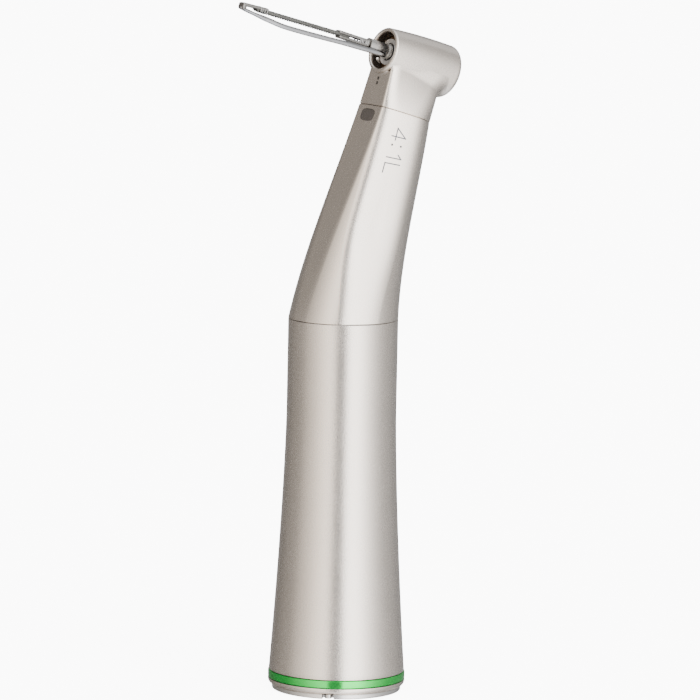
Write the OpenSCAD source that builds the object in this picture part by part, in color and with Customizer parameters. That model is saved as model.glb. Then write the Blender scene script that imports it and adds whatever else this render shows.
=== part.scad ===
// Contra-angle dental handpiece with a reciprocating strip insert.
// The origin is the centre of the coupling mouth; +Z runs up the grip.

/* [Grip] */
// Diameter of the straight part of the grip
grip_d = 16; // [15.6:0.2:19.2]
// How far the lower end of the grip flares out on each side
grip_flare = 1.9; // [1.4:0.1:2.4]
// Height at which the flare has run out
flare_top = 41; // [36:1:48]
// Outer diameter of the colour ring and of the base ring
ring_d = 20; // [19:0.2:24]
// Height of the colour ring
color_ring_h = 1.12; // [0.8:0.02:1.12]

/* [Neck] */
// Angle between the grip and the neck
bend = 18; // [15:0.5:20]
// Length of the neck sleeve, from the bend to the head seam
neck_len = 27.1; // [25:0.1:34]
// Diameter of the neck at the head seam
neck_d = 10.6; // [10.4:0.1:11.4]
// Distance of the flat front face from the neck's axis
facet_out = 4.45; // [4.4:0.05:4.7]

/* [Head] */
// Distance from the head seam to the axis of the head
head_rise = 8.1; // [7.8:0.1:9]
// Diameter of the head at its open front
head_front_d = 6.7; // [6.5:0.1:7.2]
// Diameter of the head at its widest, near the back
head_rear_d = 7.9; // [7.5:0.1:8.6]
// How far the head's front edge stands before the neck's axis
head_front = 5.1; // [4.9:0.1:6]
// How far the head reaches behind the neck's axis
head_back = 7; // [6.8:0.1:8]
// Diameter of the bore through the head
head_bore_d = 5.6; // [5.6:0.05:5.8]

/* [Drive] */
// Size of the gear teeth
tooth_module = 0.32; // [0.3:0.01:0.32]
// Thickness of the planet gears
planet_h = 3.6; // [2.8:0.1:3.6]
// Stroke of the plunger to each side of its middle
half_stroke = 0.4; // [0.2:0.05:0.4]
// Way that the drive dog can be pushed in
dog_travel = 1.5; // [1:0.1:1.6]

/* [Strip insert] */
// Length of the strip between its two clamps
strip_len = 13; // [10:0.5:16]
// Width of the strip and of its clamps
strip_w = 1.1; // [0.9:0.05:1.3]
// Diameter of the bow's wire
bow_d = 0.75; // [0.6:0.05:0.85]

/* [Hidden] */
$fn = 64;
eps = 0.01;
// Radial clearances: a running shaft, a sliding pin, and an easy gap
run_gap = 0.03;
slide_gap = 0.04;
free_gap = 0.3;

// Coupling
mouth_r = 6.75;
mouth_len = 22;
tube_wall = 1.2;
tube_r = mouth_r + tube_wall;
tube_top = 23;
flange_r = 9.4;
flange_h = 0.65;
base_ring_top = 1.62;
color_ring_z = 1.68;
sleeve_z = color_ring_z + color_ring_h + 0.06;
notch_w = 1.7;
notch_turn = 227.6;
pin_ring_r = 8.75;
seal_wire_r = 0.36;
seal_groove = 0.7;
latch_z = 10;
latch_wire_r = 0.38;

// Rear sleeve and gear case
grip_r = grip_d / 2;
sleeve_wall = 1;
sleeve_bore_r = grip_r - sleeve_wall;
sleeve_top = 54.5;
case_r = 5.75;
case_bore_r = 5.3;
case_top = 50.5;
case_flange_h = 1.6;
nut_r = 5.7;
nut_bore_r = 4.9;
nut_h = 2.4;

// Neck and head
bend_z = 58.3;
neck_r = neck_d / 2;
neck_wall = 1;
facet_wall = 0.5;
seam_gap = 0.05;
head_t = neck_len + head_rise;
stub_t = head_t - 1.8;
bore_r = head_bore_d / 2;
facet_foot = [-grip_r, sleeve_top];
facet_head = [
    neck_len * sin(bend) - facet_out * cos(bend),
    bend_z + neck_len * cos(bend) + facet_out * sin(bend)
];
facet_lean = atan2(facet_head[0] - facet_foot[0], facet_head[1] - facet_foot[1]);
window_t = neck_len - 1.6;
window_out = facet_out + 1.6 * tan(facet_lean - bend);
window_size = [3.2, 1.9];
window_h = 0.8;
slot_t = [neck_len + 3.3, neck_len + 4];
slot_size = [0.25, 0.5];

// Bearings: [bore radius, inner race radius, outer race bore, outer radius, width, ball radius]
big_bearing = [1.5, 2.2, 3.2, 4, 3, 0.6];
small_bearing = [1.25, 1.78, 2.52, 3, 2.2, 0.45];
input_bearing_z = 31;
carrier_bearing_z = 43.5;
lower_bearing_t = 5;
upper_bearing_t = neck_len + 1.2;
bearing_balls = 7;
ring_h = 0.6;

// Gears
sun_teeth = 9;
planet_teeth = 9;
ring_teeth = sun_teeth + 2 * planet_teeth;
planets = 3;
orbit_r = tooth_module * (sun_teeth + planet_teeth) / 2;
gear_z = 36;
gear_h = 4;
planet_bore_r = 0.55;
planet_pin_r = planet_bore_r - run_gap;
carrier_z = gear_z + gear_h + 0.3;
carrier_r = 5;
carrier_h = 2;
crown_teeth = 10;
crown_in = 2.3;
crown_out = 3.4;
crown_tooth_w = 0.48;
crown_addendum = 0.4;
crown_root = 1.3;
crown_hub_h = 2.4;

// Drive dog
dog_z = 23.3;
dog_h = 4;
dog_r = 3;
dog_pin_r = 0.4;
dog_pin_z = 26.2;
spring_wire = 0.22;
spring_r = 2.15;
spring_turns = 4;

// Eccentric pin and plunger
pin_r = 0.4;
pin_tip = 1.65;
plunger_r = 2.45;
plunger_nose_r = 1.95;
plunger_front = head_front - 1.1;
plunger_back = -5;
plunger_shoulder = 2.6;
slot_half = pin_r + 2 * half_stroke + 0.05;
shank_r = 1.175;
shank_back = -1;
clip_at = 1.75;

// Strip insert, measured forwards from the plunger's front face
tool_neck_r = 1;
near_from = 3.9;
near_to = near_from + 5.8;
far_from = near_to + strip_len - 0.1;
far_to = far_from + 5.3;
clamp_t = 1;
slit = 0.16;
strip_t = 0.26;
near_drop = -0.3;
tool_grow = far_from / 22.6;

// Light guide and spray lines
guide_r = 0.5;
line_r = 0.3;
line_ring = 6.35;
line_y = 2.05;
line_out = 3.4;
line_foot = [-5.93, 2.4];
bulkhead_front = 3.35;

// ---------- frames ----------

// Puts children on the neck's axis, t above the bend
module on_neck(t = 0) {
    translate([0, 0, bend_z])
        rotate([0, bend, 0])
            translate([0, 0, t])
                children();
}

// Puts children on the head's axis, with +Z out of the open front
module on_head(out = 0) {
    on_neck(head_t)
        rotate([0, -90, 0])
            translate([0, 0, out])
                children();
}

// A point beside the neck's axis: t along it, out to the front, y across
function neck_point(t, out, y) = [
    t * sin(bend) - out * cos(bend),
    y,
    bend_z + t * cos(bend) + out * sin(bend)
];

// ---------- shared shapes ----------

// A round rod from p to q
module rod(p, q, r) {
    d = q - p;
    len = norm(d);
    translate(p)
        rotate([0, acos(d[2] / len), atan2(d[1], d[0])])
            cylinder(h = len, r = r, $fn = 32);
}

// A plain ring
module tube(r_out, r_in, h) {
    difference() {
        cylinder(h = h, r = r_out);
        translate([0, 0, -1])
            cylinder(h = h + 2, r = r_in);
    }
}

// A ring with rounded outer edges
module soft_ring(r_out, r_in, h, round_low, round_high) {
    rotate_extrude()
        polygon(concat(
            [[r_in, 0]],
            [for (a = [0 : 15 : 90])
                [r_out - round_low * (1 - sin(a)), round_low * (1 - cos(a))]],
            [for (a = [90 : -15 : 0])
                [r_out - round_high * (1 - sin(a)), h - round_high * (1 - cos(a))]],
            [[r_in, h]]
        ));
}

// A rectangle with round corners, as a flat plate
module round_plate(size, r, h) {
    x = size[0] / 2 - r;
    y = size[1] / 2 - r;
    linear_extrude(height = h)
        union() {
            square([size[0], 2 * y], center = true);
            square([2 * x, size[1]], center = true);
            for (i = [-1, 1], j = [-1, 1])
                translate([i * x, j * y])
                    circle(r = r, $fn = 32);
        }
}

// A toothed outline; the first tooth points along +X
module teeth_outline(n, m, inside) {
    pitch = 360 / n;
    r = m * n / 2;
    root = inside ? r + 1.15 * m : r - 1.15 * m;
    tip = inside ? r - 0.8 * m : r + 0.8 * m;
    wide = inside ? 0.3 : 0.28;
    thin = inside ? 0.13 : 0.11;
    polygon([for (i = [0 : n - 1], k = [0 : 3])
        let (
            a = i * pitch + pitch * [-wide, -thin, thin, wide][k],
            q = (k == 0 || k == 3) ? root : tip
        )
        [q * cos(a), q * sin(a)]
    ]);
}

module spur_gear(n, h, hole_r) {
    difference() {
        linear_extrude(height = h)
            teeth_outline(n, tooth_module, false);
        translate([0, 0, -1])
            cylinder(h = h + 2, r = hole_r);
    }
}

// A crown gear whose teeth meet its partner's on one side of the bend
module crown_gear(hole_r, turn) {
    root_z = -crown_root;
    difference() {
        union() {
            translate([0, 0, root_z - crown_hub_h])
                cylinder(h = crown_hub_h, r = crown_out);
            for (i = [0 : crown_teeth - 1])
                rotate([0, 0, turn + i * 360 / crown_teeth])
                    translate([0, crown_tooth_w / 2, 0])
                        rotate([90, 0, 0])
                            linear_extrude(height = crown_tooth_w)
                                polygon([
                                    [crown_in, root_z - 0.5],
                                    [crown_out - 0.02, root_z - 0.5],
                                    [crown_out - 0.02, crown_addendum - crown_out * tan(bend / 2)],
                                    [crown_in, crown_addendum - crown_in * tan(bend / 2)]
                                ]);
        }
        translate([0, 0, root_z - crown_hub_h - 1])
            cylinder(h = crown_hub_h + 3, r = hole_r);
    }
}

// Bearing pieces, standing on z = 0
function ball_ring(b) = (b[1] + b[2]) / 2;

module race_groove(b) {
    translate([0, 0, b[4] / 2])
        rotate_extrude()
            translate([ball_ring(b), 0])
                circle(r = b[5] + 0.02, $fn = 48);
}

module inner_race(b) {
    difference() {
        tube(b[1], b[0], b[4]);
        race_groove(b);
    }
}

module outer_race(b) {
    difference() {
        tube(b[3], b[2], b[4]);
        race_groove(b);
    }
}

module balls(b) {
    for (i = [0 : bearing_balls - 1])
        rotate([0, 0, i * 360 / bearing_balls])
            translate([ball_ring(b), 0, b[4] / 2])
                sphere(r = b[5], $fn = 32);
}

// A round wire that follows points; each ring of it stands across the path
function unit(v) = v / norm(v);
function path_dir(p, i) = unit(p[min(i + 1, len(p) - 1)] - p[max(i - 1, 0)]);

module wire(p, r, sides, up) {
    n = len(p);
    rings = [for (i = [0 : n - 1])
        let (
            d = path_dir(p, i),
            u = unit(cross(up, d)),
            v = cross(d, u)
        )
        for (k = [0 : sides - 1])
            p[i] + r * (cos(k * 360 / sides) * u + sin(k * 360 / sides) * v)
    ];
    walls = [for (i = [0 : n - 2], k = [0 : sides - 1])
        let (k2 = (k + 1) % sides)
        [i * sides + k, (i + 1) * sides + k, (i + 1) * sides + k2, i * sides + k2]
    ];
    polyhedron(
        points = rings,
        faces = concat(
            [[for (k = [0 : sides - 1]) k]],
            walls,
            [[for (k = [sides - 1 : -1 : 0]) (n - 1) * sides + k]]
        ),
        convexity = 6
    );
}

// ---------- routes ----------

guide_route = [
    [-line_ring, 0, mouth_len],
    [-line_ring, 0, 52.4],
    [-5.2, 0, 57.5],
    neck_point(window_t - 1.2, 2.9, 0),
    neck_point(window_t - 0.1, window_out - window_h - 0.45, 0)
];

// A spray line on one side, up to its end in the head
function line_route(side, top_t) = [
    [line_foot[0], side * line_foot[1], mouth_len],
    [line_foot[0], side * line_foot[1], 52.4],
    [-4.5, side * 2.3, 58.5],
    neck_point(neck_len - 3.1, line_out, side * line_y),
    neck_point(top_t, line_out, side * line_y)
];

// Upright holes for the light guide and the spray lines
module line_holes(from, to) {
    translate([-line_ring, 0, from])
        cylinder(h = to - from, r = guide_r + 0.05);
    for (side = [-1, 1])
        translate([line_foot[0], side * line_foot[1], from])
            cylinder(h = to - from, r = line_r + 0.05);
}

// ---------- casing ----------

function grip_at(z) =
    z >= flare_top
        ? grip_r
        : grip_r + grip_flare * pow((flare_top - z) / (flare_top - sleeve_z), 1.45);

module rear_sleeve() {
    steps = 20;
    color("silver")
        difference() {
            rotate_extrude()
                polygon(concat(
                    [[0, sleeve_z]],
                    [[grip_at(sleeve_z) - 0.12, sleeve_z]],
                    [for (i = [0 : steps])
                        let (z = sleeve_z + 0.12 + (flare_top - sleeve_z - 0.12) * i / steps)
                        [grip_at(z), z]],
                    [[grip_r, sleeve_top - seam_gap]],
                    [[0, sleeve_top - seam_gap]]
                ));
            translate([0, 0, sleeve_z - 1])
                cylinder(h = tube_top - sleeve_z + 1, r = tube_r);
            translate([0, 0, tube_top - eps])
                cylinder(h = sleeve_top, r = sleeve_bore_r);
        }
}

// The tapering shape between the grip's ring and the head seam
module neck_solid(inset, sides) {
    hull() {
        translate([0, 0, sleeve_top])
            cylinder(h = eps, r = grip_r - inset, $fn = sides);
        on_neck(inset > 0 ? neck_len + 0.5 : neck_len - seam_gap - eps)
            cylinder(h = eps, r = neck_r - inset, $fn = sides);
    }
}

// Everything behind the flat front face, moved in by inset
module behind_facet(inset) {
    translate([facet_foot[0], 0, facet_foot[1]])
        rotate([0, facet_lean, 0])
            translate([inset, -20, -10])
                cube([40, 40, 60]);
}

module neck_sleeve() {
    color("silver")
        difference() {
            union() {
                intersection() {
                    neck_solid(0, 96);
                    behind_facet(0);
                }
                translate([0, 0, case_top + 1])
                    cylinder(h = sleeve_top - case_top - 1 + eps, r = sleeve_bore_r - 0.02);
            }
            difference() {
                intersection() {
                    neck_solid(neck_wall, 48);
                    behind_facet(facet_wall);
                }
                on_neck(lower_bearing_t - 0.4)
                    translate([-bulkhead_front, -20, 0])
                        cube([40, 40, small_bearing[4] + 0.6]);
            }
            translate([0, 0, case_top])
                cylinder(h = sleeve_top - case_top + 0.6, r = nut_r);
            translate([-8, -3, case_top])
                cube([4, 6, sleeve_top - case_top]);
            on_neck(lower_bearing_t - 1)
                cylinder(h = small_bearing[4] + 1, r = small_bearing[3]);
            on_neck(lower_bearing_t)
                cylinder(h = 4, r = small_bearing[2]);
            on_neck(neck_len - 1)
                cylinder(h = 2, r = 3.8);
            window_place(-0.5)
                round_plate([window_size[1] + 0.08, window_size[0] + 0.08], 0.55, 3);
            on_neck(neck_len - 1.5)
                rotate([0, 90, 0])
                    cylinder(h = neck_r + 2, r = 0.8);
        }
}

// Seat of the light window: +Z looks out of the flat front face
module window_place(out = 0) {
    translate(neck_point(window_t, window_out, 0))
        rotate([0, facet_lean - 90, 0])
            translate([0, 0, out - window_h])
                children();
}

module light_window() {
    color([0.3, 0.28, 0.26])
        window_place()
            round_plate([window_size[1], window_size[0]], 0.5, window_h);
}

module head_barrel() {
    steps = 10;
    bulge = head_rear_d / 2 - head_front_d / 2;
    back_round = 1.1;
    front_round = 0.25;
    rotate_extrude($fn = 96)
        polygon(concat(
            [[0, -head_back]],
            [for (a = [0 : 10 : 90])
                [head_rear_d / 2 - back_round * (1 - sin(a)),
                    -head_back + back_round * (1 - cos(a))]],
            [for (i = [1 : steps])
                let (
                    low = -head_back + back_round,
                    high = head_front - front_round,
                    f = i / steps
                )
                [head_rear_d / 2 - bulge * f * f, low + (high - low) * f]],
            [for (a = [0 : 15 : 90])
                [head_front_d / 2 - front_round * (1 - cos(a)),
                    head_front - front_round * (1 - sin(a))]],
            [[0, head_front]]
        ));
}

module head_stub() {
    corner = 1.4;
    half_w = 3.05;
    intersection() {
        hull() {
            on_neck(neck_len)
                cylinder(h = eps, r = neck_r, $fn = 128);
            for (x = [-4.6, 5.2], y = [-1, 1])
                on_neck(stub_t - eps)
                    translate([x - sign(x) * corner, y * (half_w - corner), 0])
                        cylinder(h = eps, r = corner, $fn = 32);
        }
        on_neck(0)
            translate([-facet_out, -20, 0])
                cube([40, 40, 60]);
    }
}

module head_housing() {
    color("silver")
        difference() {
            union() {
                head_stub();
                on_head()
                    head_barrel();
                difference() {
                    on_neck(neck_len - 2.4)
                        cylinder(h = 2.4 + eps, r = neck_r - neck_wall - 0.15);
                    on_neck(neck_len - 5)
                        translate([-20 - 1.8, -20, 0])
                            cube([20, 40, 5]);
                }
            }
            on_head(-5.4)
                cylinder(h = 20, r = bore_r);
            on_head(-head_back - 1)
                cylinder(h = head_back + 1 - 5.4 + eps, r = 3.05);
            on_neck(neck_len - 4)
                cylinder(h = upper_bearing_t + small_bearing[4] - neck_len + 4, r = small_bearing[3]);
            on_neck(neck_len)
                cylinder(h = head_rise, r = 1.95);
            on_neck(neck_len - 1.5)
                rotate([0, 90, 0])
                    translate([0, 0, 2])
                        cylinder(h = 5, r = 0.51);
            for (side = [-1, 1]) {
                rod(
                    neck_point(neck_len - 1, line_out, side * line_y),
                    neck_point(neck_len + 1, line_out, side * line_y),
                    line_r + 0.05
                );
                rod(
                    neck_point(neck_len + 0.8, line_out, side * line_y),
                    neck_point((side > 0 ? slot_t[1] : slot_t[0]) + 0.08, line_out, side * line_y),
                    0.2
                );
                rod(
                    neck_point(side > 0 ? slot_t[1] : slot_t[0], line_out + 0.12, side * line_y),
                    neck_point(side > 0 ? slot_t[1] : slot_t[0], line_out + 0.12, -0.1 * side),
                    0.14
                );
            }
            for (t = slot_t)
                on_neck(t)
                    translate([-facet_out - 1, -slot_size[0] / 2, -slot_size[1] / 2])
                        cube([1.8, slot_size[0], slot_size[1]]);
        }
}

module head_cap() {
    color("silver")
        on_head(-head_back + 0.15)
            difference() {
                soft_cap(3.05, head_back - 0.15 - 5.4);
                for (a = [0, 180])
                    rotate([0, 0, a])
                        translate([1.9, 0, -1])
                            cylinder(h = 1.6, r = 0.4);
            }
}

module soft_cap(r, h) {
    union() {
        translate([0, 0, 0.25])
            cylinder(h = h - 0.25, r = r);
        cylinder(h = 0.25 + eps, r1 = r - 0.25, r2 = r);
    }
}

module color_ring() {
    color("mediumseagreen")
        translate([0, 0, color_ring_z])
            soft_ring(ring_d / 2, tube_r, color_ring_h, 0.14, 0.14);
}

module base_ring() {
    color("silver")
        difference() {
            translate([0, 0, flange_h])
                soft_ring(ring_d / 2, tube_r, base_ring_top - flange_h, 0.45, 0.12);
            rotate([0, 0, notch_turn])
                translate([pin_ring_r, 0, 0])
                    cylinder(h = base_ring_top, r = 0.5);
        }
}

module coupling_tube() {
    color("lightgray")
        difference() {
            union() {
                soft_ring(flange_r, 1, flange_h, 0.2, 0.02);
                cylinder(h = tube_top, r = tube_r);
            }
            translate([0, 0, -1])
                cylinder(h = mouth_len + 1, r = mouth_r);
            cylinder(h = tube_top + 1, r = dog_r + 0.6);
            translate([0, 0, latch_z - 0.42])
                cylinder(h = 0.84, r = mouth_r + 0.8);
            for (z = [6, 18])
                translate([0, 0, z - 0.38])
                    tube(tube_r + 1, tube_r - seal_groove, 0.76);
            rotate([0, 0, notch_turn])
                translate([tube_r, -notch_w / 2, -1])
                        cube([5, notch_w, flange_h + 1]);
            line_holes(mouth_len - 1, tube_top + 1);
        }
}

module locating_pin() {
    color("gray")
        rotate([0, 0, notch_turn])
            translate([pin_ring_r, 0, 0.1])
                cylinder(h = base_ring_top - 0.1, r = 0.5);
}

module latch_ring() {
    color("gray")
        rotate([0, 0, 20])
            translate([0, 0, latch_z])
                rotate_extrude(angle = 320)
                    translate([mouth_r + 0.03 + latch_wire_r, 0])
                        circle(r = latch_wire_r, $fn = 24);
}

module sleeve_seals() {
    color("black")
        for (z = [6, 18])
            translate([0, 0, z])
                rotate_extrude()
                    translate([tube_r - seal_wire_r + 0.005, 0])
                        circle(r = seal_wire_r - 0.01, $fn = 24);
}

module joint_nut() {
    color("gray")
        translate([0, 0, case_top])
            difference() {
                tube(nut_r, nut_bore_r, nut_h);
                for (a = [0 : 90 : 270])
                    rotate([0, 0, a + 45])
                        translate([nut_bore_r - 0.5, -0.6, nut_h - 1])
                            cube([2, 1.2, 2]);
            }
}

// ---------- gear case and input ----------

module gear_case() {
    color("darkgray")
        difference() {
            union() {
                translate([0, 0, tube_top])
                    cylinder(h = case_top - tube_top, r = case_r);
                translate([0, 0, tube_top])
                    cylinder(h = case_flange_h, r = sleeve_bore_r);
                translate([0, 0, case_top - case_flange_h])
                    cylinder(h = case_flange_h, r = sleeve_bore_r);
            }
            translate([0, 0, tube_top - 1])
                cylinder(h = input_bearing_z - 0.4 - tube_top + 1, r = 4.8);
            translate([0, 0, input_bearing_z - 1])
                cylinder(h = 2, r = big_bearing[3] - 0.5);
            translate([0, 0, input_bearing_z])
                cylinder(h = big_bearing[4] + 2, r = big_bearing[3]);
            translate([0, 0, input_bearing_z + big_bearing[4] + 0.6])
                cylinder(h = carrier_bearing_z - 0.4 - input_bearing_z - big_bearing[4] - 0.6, r = case_bore_r);
            translate([0, 0, carrier_bearing_z - 1])
                cylinder(h = 2, r = big_bearing[3] - 0.5);
            translate([0, 0, carrier_bearing_z])
                cylinder(h = big_bearing[4] + 1, r = big_bearing[3]);
            translate([0, 0, carrier_bearing_z + big_bearing[4] + 0.8])
                cylinder(h = 10, r = 4.8);
            line_holes(tube_top - 1, case_top + 1);
        }
}

module ring_gear() {
    color("goldenrod")
        translate([0, 0, gear_z - 0.4])
            difference() {
                cylinder(h = gear_h + 0.4, r = case_bore_r);
                rotate([0, 0, 180 / ring_teeth])
                    translate([0, 0, -1])
                        linear_extrude(height = gear_h + 3)
                            teeth_outline(ring_teeth, tooth_module, true);
            }
}

module input_shaft() {
    color("dimgray")
        difference() {
            union() {
                translate([0, 0, dog_z + 0.7])
                    cylinder(h = input_bearing_z + big_bearing[4] + ring_h - dog_z - 0.7 + 0.3, r = big_bearing[0]);
                translate([0, 0, input_bearing_z - 0.9])
                    cylinder(h = 0.9, r = 2);
                translate([0, 0, input_bearing_z + big_bearing[4]])
                    cylinder(h = gear_z - input_bearing_z - big_bearing[4] + 0.1, r = 1);
                translate([0, 0, gear_z])
                    spur_gear(sun_teeth, gear_h, 0.2);
            }
            translate([0, 0, gear_z - 1])
                cylinder(h = 10, r = 0.25);
            rotate([90, 0, 0])
                translate([0, dog_pin_z, -5])
                    cylinder(h = 10, r = dog_pin_r);
        }
}

module dog_pin() {
    color("gray")
        rotate([90, 0, 0])
            translate([0, dog_pin_z, -dog_r + 0.25])
                cylinder(h = 2 * dog_r - 0.5, r = dog_pin_r);
}

module drive_dog() {
    slot_low = dog_pin_z - dog_pin_r - 0.08 - dog_travel;
    slot_high = dog_pin_z + dog_pin_r + 0.08;
    color("dimgray")
        difference() {
            translate([0, 0, dog_z])
                cylinder(h = dog_h, r = dog_r);
            translate([0, 0, dog_z - 1])
                cylinder(h = dog_h + 2, r = big_bearing[0] + slide_gap);
            for (a = [0, 90])
                rotate([0, 0, a])
                    translate([-5, -0.8, dog_z - 1])
                        cube([10, 1.6, 1.8]);
            rotate([0, 0, 45])
                translate([0, 0, dog_z - 1])
                    tube(dog_r + 1, dog_r - 0.35, 1.8);
            translate([-dog_pin_r - 0.05, -5, slot_low])
                cube([2 * dog_pin_r + 0.1, 10, slot_high - slot_low]);
        }
}

module dog_spring() {
    low = dog_z + dog_h + spring_wire + 0.02;
    high = input_bearing_z - 0.9 - spring_wire - 0.02;
    steps = 20 * spring_turns;
    color("lightgray")
        wire(
            [for (i = [0 : steps])
                [spring_r * cos(i * 18), spring_r * sin(i * 18), low + (high - low) * i / steps]],
            spring_wire,
            8,
            [0, 0, 1]
        );
}

module shaft_ring(r) {
    difference() {
        tube(r + 0.7, r, ring_h);
        translate([r * 0.4, -0.5, -1])
            cube([4, 1, 4]);
    }
}

module input_circlip() {
    color("gray")
        translate([0, 0, input_bearing_z + big_bearing[4]])
            shaft_ring(big_bearing[0]);
}

module input_inner_race() {
    color("silver")
        translate([0, 0, input_bearing_z])
            inner_race(big_bearing);
}

module input_outer_race() {
    color("silver")
        translate([0, 0, input_bearing_z])
            outer_race(big_bearing);
}

module input_balls() {
    color("white")
        translate([0, 0, input_bearing_z])
            balls(big_bearing);
}

// ---------- planets and carrier ----------

module planet_gear(k) {
    color("goldenrod")
        rotate([0, 0, k * 360 / planets])
            translate([orbit_r, 0, gear_z + 0.2])
                spur_gear(planet_teeth, planet_h, planet_bore_r);
}

module planet_gear_1() {
    planet_gear(0);
}

module planet_gear_2() {
    planet_gear(1);
}

module planet_gear_3() {
    planet_gear(2);
}

module planet_pins() {
    color("gray")
        for (k = [0 : planets - 1])
            rotate([0, 0, k * 360 / planets])
                translate([orbit_r, 0, gear_z])
                    cylinder(h = carrier_z + carrier_h - gear_z, r = planet_pin_r);
}

module planet_carrier() {
    shaft_top = bend_z - crown_root - 0.4;
    color("dimgray")
        difference() {
            union() {
                translate([0, 0, carrier_z])
                    cylinder(h = carrier_h, r = carrier_r);
                translate([0, 0, carrier_z + carrier_h - eps])
                    cylinder(h = carrier_bearing_z - carrier_z - carrier_h + eps, r = 2);
                translate([0, 0, carrier_z + carrier_h])
                    cylinder(h = shaft_top - carrier_z - carrier_h, r = big_bearing[0]);
            }
            for (k = [0 : planets - 1])
                rotate([0, 0, k * 360 / planets])
                    translate([orbit_r, 0, carrier_z - 1])
                        cylinder(h = carrier_h + 2, r = planet_pin_r);
        }
}

module carrier_inner_race() {
    color("silver")
        translate([0, 0, carrier_bearing_z])
            inner_race(big_bearing);
}

module carrier_outer_race() {
    color("silver")
        translate([0, 0, carrier_bearing_z])
            outer_race(big_bearing);
}

module carrier_balls() {
    color("white")
        translate([0, 0, carrier_bearing_z])
            balls(big_bearing);
}

module carrier_circlip() {
    color("gray")
        translate([0, 0, carrier_bearing_z + big_bearing[4]])
            shaft_ring(big_bearing[0]);
}

module rear_crown_gear() {
    color("goldenrod")
        translate([0, 0, bend_z])
            crown_gear(big_bearing[0], 0);
}

// ---------- neck drive ----------

module neck_crown_gear() {
    color("goldenrod")
        on_neck(0)
            rotate([180, 0, 0])
                crown_gear(small_bearing[0], 180 / crown_teeth);
}

module neck_shaft() {
    low = crown_root + 0.4;
    high = head_t - 3;
    color("dimgray")
        on_neck(0)
            difference() {
                union() {
                    translate([0, 0, low])
                        cylinder(h = high - low, r = small_bearing[0]);
                    translate([0, 0, lower_bearing_t + small_bearing[4]])
                        cylinder(h = 0.6, r = 1.75);
                    translate([0, 0, upper_bearing_t - 0.6])
                        cylinder(h = 0.6, r = 1.75);
                }
                translate([half_stroke, 0, high - 1.2])
                    cylinder(h = 2, r = pin_r);
            }
}

module eccentric_pin() {
    low = head_t - 4.2;
    color("gray")
        on_neck(low)
            translate([half_stroke, 0, 0])
                cylinder(h = head_t - pin_tip - low, r = pin_r);
}

module lower_inner_race() {
    color("silver")
        on_neck(lower_bearing_t)
            inner_race(small_bearing);
}

module lower_outer_race() {
    color("silver")
        on_neck(lower_bearing_t)
            outer_race(small_bearing);
}

module lower_balls() {
    color("white")
        on_neck(lower_bearing_t)
            balls(small_bearing);
}

module upper_inner_race() {
    color("silver")
        on_neck(upper_bearing_t)
            inner_race(small_bearing);
}

module upper_outer_race() {
    color("silver")
        on_neck(upper_bearing_t)
            outer_race(small_bearing);
}

module upper_balls() {
    color("white")
        on_neck(upper_bearing_t)
            balls(small_bearing);
}

// ---------- plunger ----------

module plunger() {
    color("lightgray")
        difference() {
            on_head()
                union() {
                    translate([0, 0, plunger_back])
                        cylinder(h = plunger_shoulder - plunger_back, r = plunger_r);
                    cylinder(h = plunger_front, r = plunger_nose_r);
                }
            on_head(shank_back - 0.2)
                cylinder(h = 10, r = shank_r + run_gap);
            on_head(plunger_front - 1.2)
                cylinder(h = 2, r = shank_r + 0.175);
            on_head(clip_at - 0.32)
                cylinder(h = 0.64, r = shank_r + 0.45);
            on_neck(head_t - plunger_r - 1)
                translate([-slot_half, -slot_half, 0])
                    cube([2 * slot_half, 2 * slot_half, plunger_r + 1 - shank_r - 0.28]);
        }
}

module bush(low, high) {
    color("peru")
        on_head(low)
            tube(bore_r, plunger_r + run_gap, high - low);
}

module front_bush() {
    bush(1.35, 2.9);
}

module rear_bush() {
    bush(-5.2, -2);
}

module chuck_clip() {
    color("gray")
        on_head(clip_at - 0.3)
            difference() {
                tube(shank_r + 0.45, 1.06, 0.6);
                translate([0.5, -0.3, -1])
                    cube([3, 0.6, 3]);
            }
}

// ---------- strip insert ----------

// Puts children on the insert: X to the front, Z up along the neck
module on_insert() {
    on_head(plunger_front)
        rotate([0, -90, 0])
            mirror([1, 0, 0])
                rotate([0, 0, 180])
                    mirror([1, 0, 0])
                        children();
}

// A point on the insert: s forwards, d down, side towards -Y
function tool_point(s, d, side) =
    neck_point(head_t - d, plunger_front + s, -side);

module insert_shank() {
    color("silver")
        difference() {
            on_head()
                union() {
                    translate([0, 0, shank_back])
                        cylinder(h = plunger_front + 0.5 - shank_back, r = shank_r);
                    cylinder(h = plunger_front + near_from, r = tool_neck_r);
                }
            on_head(clip_at - 0.33)
                tube(3, 1, 0.66);
        }
}

module bow_rod() {
    g = tool_grow;
    knots = [
        [1.44, 0.72, 1.15],
        [3.5, 0.78, 1.15],
        [5.5, 0.85, 1.14],
        [9 * g, 0.95, 1],
        [13.3 * g, 1.14, 0.8],
        [18.9 * g, 1.22, 0.5],
        [21.8 * g, 1.02, 0.28],
        [far_from + 1.2, 0.86, 0.12],
        [far_from + 2.4, 0.72, 0]
    ];
    last = len(knots) - 1;
    steps = 6;
    path = [for (i = [0 : last - 1], k = [0 : steps - 1])
        let (
            a = knots[max(i - 1, 0)],
            b = knots[i],
            c = knots[i + 1],
            d = knots[min(i + 2, last)],
            u = k / steps
        )
        b + u * (c - a) / 2
            + u * u * (2 * a - 5 * b + 4 * c - d) / 2
            + u * u * u * (3 * b - a - 3 * c + d) / 2
    ];
    color("silver")
        wire(
            [for (p = concat(path, [knots[last]])) tool_point(p[0], p[1], p[2])],
            bow_d / 2,
            12,
            [0, 1, 0]
        );
}

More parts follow.
